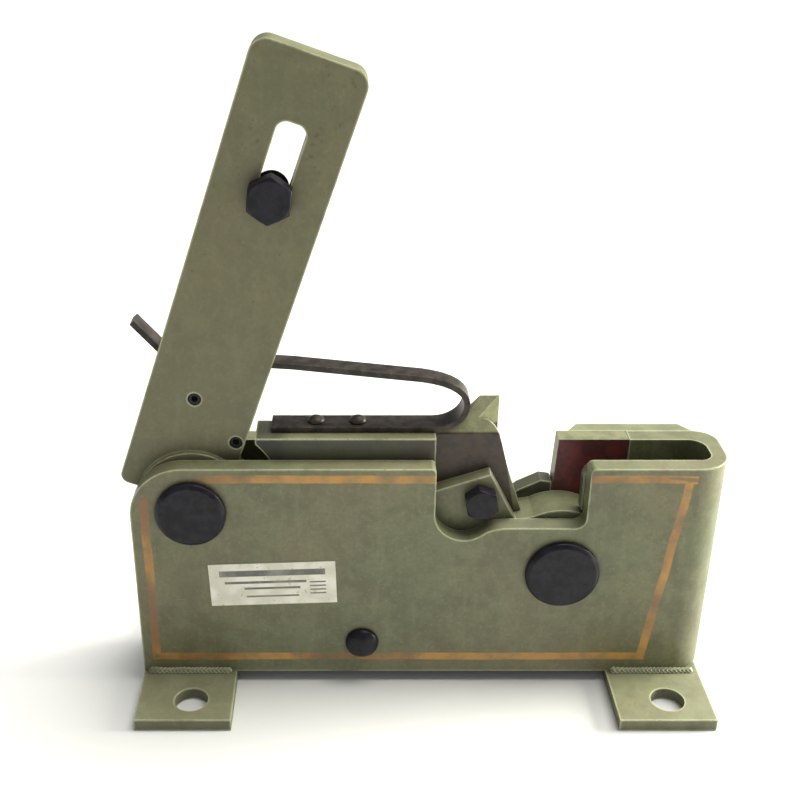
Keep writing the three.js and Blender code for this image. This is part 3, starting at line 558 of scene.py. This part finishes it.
def lofted(name, rings, looped=False):
    """A closed mesh through rings of points. Its end rings are capped, or joined when it is looped."""
    count = len(rings[0])
    faces = []
    for r in range(len(rings) if looped else len(rings) - 1):
        a, b = r * count, (r + 1) % len(rings) * count
        faces += [(a + i, a + (i + 1) % count, b + (i + 1) % count, b + i) for i in range(count)]
    if not looped:
        last = (len(rings) - 1) * count
        faces += [tuple(reversed(range(count))), tuple(range(last, last + count))]
    mesh = bpy.data.meshes.new(name)
    mesh.from_pydata([p for ring in rings for p in ring], [], faces)
    shape = bmesh.new()
    shape.from_mesh(mesh)
    bmesh.ops.recalc_face_normals(shape, faces=shape.faces)
    shape.to_mesh(mesh)
    shape.free()
    return link(name, mesh)


def ring(axis, along, radius, count=TURNS):
    """Points round an axis = (point, direction). along, how far they are along it, and radius are
    numbers, or functions of the angle."""
    point, way = axis
    side = Vector((0, 0, 1)) if abs(way.z) < 0.5 else Vector((1, 0, 0))
    other = way.cross(side)
    points = []
    for i in range(count):
        angle = 2 * math.pi * i / count
        out = radius(angle) if callable(radius) else radius
        forward = along(angle) if callable(along) else along
        spoke = side * math.cos(angle) + other * math.sin(angle)
        points.append(point + way * forward + spoke * out)
    return points


def hexagon(across, turn):
    """The radius of a hexagon at each angle, with a corner at the angle turn."""

    def radius(angle):
        return across / 2 / math.cos((angle - turn) % (math.pi / 3) - math.pi / 6)

    return radius


def hex_rings(axis, start, height, across, turn, chamfer_start=False):
    """Rings of a hexagonal head from start, chamfered at its far end and, for a nut, at both."""
    outline = hexagon(across, turn)
    rim = 0.475 * across
    cut = math.tan(math.radians(30))

    def drop(angle):
        return (outline(angle) - rim) * cut

    rings = []
    if chamfer_start:
        rings.append(ring(axis, start, rim))
        rings.append(ring(axis, lambda a: start + drop(a), outline))
    else:
        rings.append(ring(axis, start, outline))
    rings.append(ring(axis, lambda a: start + height - drop(a), outline))
    rings.append(ring(axis, start + height, rim))
    return rings


def thread_rings(axis, start, length, radius, pitch, tip):
    """Rings of a screw thread that ends in a chamfered tip."""
    steps = round(length / pitch * THREAD_STEPS)
    depth = 0.55 * pitch
    rings = []
    for s in range(steps + 1):
        at = length * s / steps
        limit = radius - max(0.0, tip - (length - at))

        def groove(angle, at=at, limit=limit):
            phase = (at / pitch - angle / (2 * math.pi)) % 1
            return min(limit, radius - depth * (1 - abs(2 * phase - 1)) ** 1.2)

        rings.append(ring(axis, start + at, groove, THREAD_TURNS))
    return rings


def middle(node):
    low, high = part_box(node)
    return (low + high) / 2


def thread(name, node, axis, start, length, radius, pitch, tip):
    """A threaded piece of the CAD node's bolt."""
    piece = lofted(name, thread_rings(axis, start, length, radius, pitch, tip))
    settle(soften(piece, THREAD_BEVEL, 1, THREAD_ANGLE), [node], BLACK)


def bolt(node, across, head_height, radius, pitch, turn, thread_length):
    """A hexagon head bolt along Y: head in front, thread at the back, in the CAD bolt's place."""
    low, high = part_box(node)
    centre = middle(node)
    axis = (Vector((centre.x, low.y, centre.z)), Vector((0, 1, 0)))
    outward = (Vector((centre.x, low.y + head_height, centre.z)), Vector((0, -1, 0)))
    head = lofted(f"{node}_head", hex_rings(outward, 0.0, head_height, across, turn))
    settle(soften(head, 0.35 * MM, 2, 20), [node], BLACK)
    plain = high.y - low.y - thread_length
    lap = 0.5 * MM
    shank_radius = 0.985 * radius
    shank_rings = [ring(axis, head_height - lap, shank_radius), ring(axis, plain, shank_radius)]
    shank = lofted(f"{node}_shank", shank_rings)
    settle(soften(shank, 0.2 * MM, 1), [node], BLACK)
    thread(f"{node}_thread", node, axis, plain - lap, thread_length + lap, radius, pitch, 1.2 * MM)


def nut(node, across, bore, turn):
    """A hexagon nut along Y, chamfered at both ends, in the CAD nut's place."""
    low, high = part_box(node)
    centre = middle(node)
    axis = (Vector((centre.x, low.y, centre.z)), Vector((0, 1, 0)))
    height = high.y - low.y
    rings = hex_rings(axis, 0.0, height, across, turn, chamfer_start=True)
    mouth = 0.8 * MM
    rings.append(ring(axis, height, bore + mouth))
    rings.append(ring(axis, height - mouth, bore))
    rings.append(ring(axis, mouth, bore))
    rings.append(ring(axis, 0.0, bore + mouth))
    piece = lofted(f"{node}_hexagon", rings, looped=True)
    settle(soften(piece, 0.3 * MM, 2, 20), [node], BLACK)


def domed(node, axis, radius, height, flat, extra=()):
    """A domed head that swells from its seat, with plain rings of (along, radius) behind it."""
    rings = [ring(axis, along, r) for along, r in extra]
    for s in range(DOME_STEPS + 1):
        angle = math.pi / 2 * s / DOME_STEPS
        bulge = flat + (height - flat) * math.sin(angle)
        rings.append(ring(axis, bulge, max(radius * math.cos(angle), 0.02 * radius)))
    return lofted(f"{node}_domed", rings)


def spacer_bolt():
    """The domed bolt through both cheeks: its head in front and its thread behind."""
    low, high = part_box("spacer_bolt")
    centre = middle("spacer_bolt")
    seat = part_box("frame")[0].y
    head_radius = high.x - centre.x
    shank_radius, pitch = 6 * MM, 1.75 * MM
    thread_length, lap = 13 * MM, 1 * MM
    front = (Vector((centre.x, seat, centre.z)), Vector((0, -1, 0)))
    shank_end = seat - high.y + thread_length - lap
    behind = [(shank_end, shank_radius), (0.0, shank_radius), (0.0, head_radius)]
    head = domed("spacer_bolt", front, head_radius, seat - low.y, 1.2 * MM, behind)
    settle(soften(head, 0.3 * MM, 2), ["spacer_bolt"], BLACK)
    rear = (Vector((centre.x, high.y - thread_length, centre.z)), Vector((0, 1, 0)))
    thread("spacer_bolt_thread", "spacer_bolt", rear, 0.0, thread_length, shank_radius, pitch, lap)


def rivet(node):
    """A domed rivet head on the leaf spring's strap."""
    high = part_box(node)[1]
    centre = middle(node)
    height = 3.8 * MM
    seat = Vector((centre.x, centre.y, high.z - height))
    piece = domed(node, (seat, Vector((0, 0, 1))), high.x - centre.x, height, 0.4 * MM)
    settle(soften(piece, 0.2 * MM, 2), [node], SPRING)


bolt(
    "clamp_bolt",
    across=24 * MM,
    head_height=10.5 * MM,
    radius=8 * MM,
    pitch=2 * MM,
    turn=math.radians(-6),
    thread_length=14 * MM,
)
bolt(
    "moving_blade_bolt",
    across=19 * MM,
    head_height=8.5 * MM,
    radius=6 * MM,
    pitch=1.75 * MM,
    turn=math.radians(10),
    thread_length=8 * MM,
)
nut_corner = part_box("spacer_nut")[1].x - middle("spacer_nut").x
nut("spacer_nut", 2 * nut_corner * math.cos(math.pi / 6), bore=6 * MM, turn=math.radians(90))
spacer_bolt()
rivet("spring_rivet_1")
rivet("spring_rivet_2")

# ---- Weld beads ---------------------------------------------------------------------------------

BEAD_STEP = 0.4 * MM
BEAD_ARC = 10  # steps across the bead's round face
BEAD_PITCH = 2.6 * MM  # from one ripple of the bead to the next
FOOT_WELD, PLATE_WELD = 3.0 * MM, 4.0 * MM
UP, RIGHT = Vector((0, 0, 1)), Vector((1, 0, 0))
FRONTWARD, BACKWARD = Vector((0, -1, 0)), Vector((0, 1, 0))


def bead(name, start, end, first, second, leg, body, seed):
    """A fillet weld from start to end, in the corner of faces that run along first and second."""
    start, end = Vector(start), Vector(end)
    way = (end - start).normalized()
    length = (end - start).length
    root = -0.25 * leg
    rings = []
    for s in range(round(length / BEAD_STEP) + 1):
        at = min(s * BEAD_STEP, length)
        near_end = min(at, length - at)
        taper = math.sqrt(max(0.05, 1 - max(0.0, 1 - near_end / leg) ** 2))
        wander = noise.noise(Vector((at / (9 * MM), seed, 0.0)))
        points = []
        for i in range(BEAD_ARC + 1):
            angle = math.pi / 2 * i / BEAD_ARC
            chord = 1 / (math.cos(angle) + math.sin(angle))
            lag = at + 1.1 * leg * math.sin(2 * angle)
            ripple = abs(math.sin(math.pi * lag / BEAD_PITCH + wander))
            reach = leg * taper * (0.7 * chord + 0.3) * (0.84 + 0.26 * ripple + 0.2 * wander)
            side = first * math.cos(angle) + second * math.sin(angle)
            points.append(start + way * at + side * reach)
        points.append(start + way * at + (first + second) * root)
        rings.append(points)
    piece = lofted(name, rings)
    for face in piece.data.polygons:
        face.use_smooth = True
    piece.data.materials.append(BEAD_PAINT)
    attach(piece, body)
    return piece


def foot_welds(side):
    """The beads that join a foot to both cheeks."""
    frame_low, frame_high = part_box("frame")
    low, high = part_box(f"foot_{side}")
    x0, x1 = max(low.x, frame_low.x) + 2 * MM, high.x - 3 * MM
    for face, y, out, seed in (
        ("front", frame_low.y, FRONTWARD, 1.3),
        ("rear", frame_high.y, BACKWARD, 4.1),
    ):
        start, end = (x0, y, high.z), (x1, y, high.z)
        bead(f"weld_{side}_{face}", start, end, out, UP, FOOT_WELD, "frame", seed + low.x)


def backing_welds():
    """The beads along the bottom and the left edge of the backing plate."""
    frame_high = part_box("frame")[1]
    low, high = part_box("backing_plate")
    y = frame_high.y
    bottom = ((low.x + 3 * MM, y, low.z), (high.x - 12 * MM, y, low.z))
    left = ((low.x, y, low.z + 3 * MM), (low.x, y, frame_high.z - 4 * MM))
    bead("weld_backing_bottom", *bottom, BACKWARD, -UP, PLATE_WELD, "frame", 7.7)
    bead("weld_backing_left", *left, BACKWARD, -RIGHT, PLATE_WELD, "frame", 9.2)


foot_welds("left")
foot_welds("right")
backing_welds()

# ---- Floor, light and camera --------------------------------------------------------------------

REACH, FLOOR_DROP = 30.0, 0.2 * MM
CORNERS = ((-1, -1), (1, -1), (1, 1), (-1, 1))
floor_mesh = bpy.data.meshes.new("floor")
floor_points = [(x * REACH, y * REACH, -FLOOR_DROP) for x, y in CORNERS]
floor_mesh.from_pydata(floor_points, [], [(0, 1, 2, 3)])
floor = link("floor", floor_mesh)
g = Graph("pale_floor")
floor_mesh.materials.append(
    g.finish(
        Base_Color=g.mix(g.noise(0.4, detail=3), srgb(224, 224, 222), srgb(230, 230, 228)),
        Roughness=0.9,
        Specular_IOR_Level=0.1,
    )
)

scene = bpy.context.scene
scene.view_settings.view_transform = "Standard"
world = bpy.data.worlds.new("studio")
world.use_nodes = True
background = world.node_tree.nodes["Background"]
background.inputs["Color"].default_value = (0.94, 0.97, 1.0, 1.0)
background.inputs["Strength"].default_value = 0.27
scene.world = world


def lamp(name, kind, energy, place, target, **settings):
    """A light at place that points to target."""
    data = bpy.data.lights.new(name, kind)
    data.energy = energy
    for key, value in settings.items():
        setattr(data, key, value)
    light = bpy.data.objects.new(name, data)
    light.location = place
    light.rotation_euler = (Vector(target) - Vector(place)).to_track_quat("-Z", "Y").to_euler()
    scene.collection.objects.link(light)


OVERHEAD = {"angle": math.radians(50), "color": (1.0, 0.99, 0.93)}
RIGHT_BOX = {"size": 1.1, "color": (1.0, 1.0, 0.88)}
lamp("overhead", "SUN", 3.9, (0.5, 0.35, 1.6), (0, 0, 0.1), **OVERHEAD)
lamp("right_softbox", "AREA", 115.0, (1.9, 0.35, 0.55), (0.1, 0, 0.15), **RIGHT_BOX)
lamp("front_softbox", "AREA", 1.5, (-0.7, -1.7, 1.1), (0, 0, 0.15), size=1.4)

CAMERA_PLACE = (-0.044722, -0.6235, 0.4955)
CAMERA_DOWN = 26  # degrees below level
camera_data = bpy.data.cameras.new("camera")
camera_data.sensor_width = 36.0
camera_data.lens = 51.975
camera_data.shift_x = 0.0625
camera_data.clip_start = 0.05
camera = bpy.data.objects.new("camera", camera_data)
camera.location = CAMERA_PLACE
camera.rotation_euler = (math.radians(90 - CAMERA_DOWN), 0, 0)
scene.collection.objects.link(camera)
scene.camera = camera
